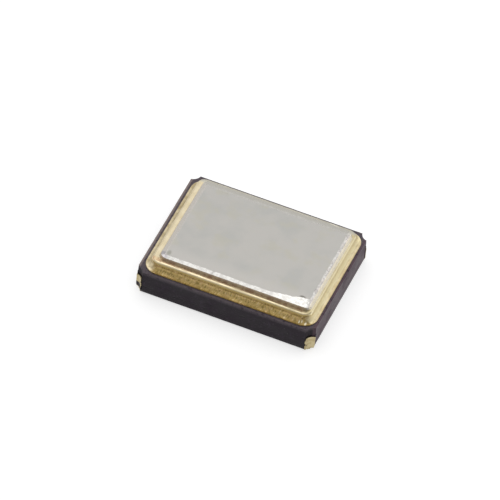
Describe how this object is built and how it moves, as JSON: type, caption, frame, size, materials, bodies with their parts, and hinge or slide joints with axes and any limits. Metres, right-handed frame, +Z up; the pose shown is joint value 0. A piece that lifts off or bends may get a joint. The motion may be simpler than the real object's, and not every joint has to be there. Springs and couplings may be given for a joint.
{
  "type": "crystal oscillator",
  "caption": "Surface-mount clock oscillator: dark ceramic leadless package with plated corner notches, a gilt seal ring and a seam-welded metal lid over its crystal and chip.",
  "frame": {"origin": "centre of the footprint, at the underside of the four terminals", "axes": "+X along the length, away from terminal 1; +Y along the width, away from terminal 1; +Z up, from the terminals to the lid"},
  "size_m": [0.0032, 0.0024, 0.0007],
  "materials": {
    "dark_alumina": "fired, fine matt grain",
    "gold_plate": "satin gold plate over nickel",
    "gilt_braze": "gold-plated silver-copper braze, slightly rough",
    "nickel_plate": "satin nickel plate, bright along the weld",
    "printed_tungsten": "fired print",
    "bump_gold": "soft pressed gold",
    "silicon": "lapped silicon",
    "silver_adhesive": "silver-filled silicone adhesive",
    "quartz": "polished quartz",
    "silver_film": "evaporated silver film"
  },
  "bodies": {
    "root": {"ceramic_body": "dark_alumina", "enable_terminal": "gold_plate", "ground_terminal": "gold_plate", "output_terminal": "gold_plate", "supply_terminal": "gold_plate", "enable_trace": "printed_tungsten", "ground_trace": "printed_tungsten", "output_trace": "printed_tungsten", "supply_trace": "printed_tungsten", "crystal_trace_front": "printed_tungsten", "crystal_trace_rear": "printed_tungsten", "enable_bump": "bump_gold", "ground_bump": "bump_gold", "output_bump": "bump_gold", "supply_bump": "bump_gold", "crystal_bump_front": "bump_gold", "crystal_bump_rear": "bump_gold", "oscillator_chip": "silicon", "adhesive_dot_front": "silver_adhesive", "adhesive_dot_rear": "silver_adhesive", "quartz_blank": "quartz", "top_electrode": "silver_film", "bottom_electrode": "silver_film", "seal_metallisation": "gold_plate", "braze_fillet": "gilt_braze", "seal_ring": "gold_plate", "lid": "nickel_plate"}
  },
  "joints": []
}
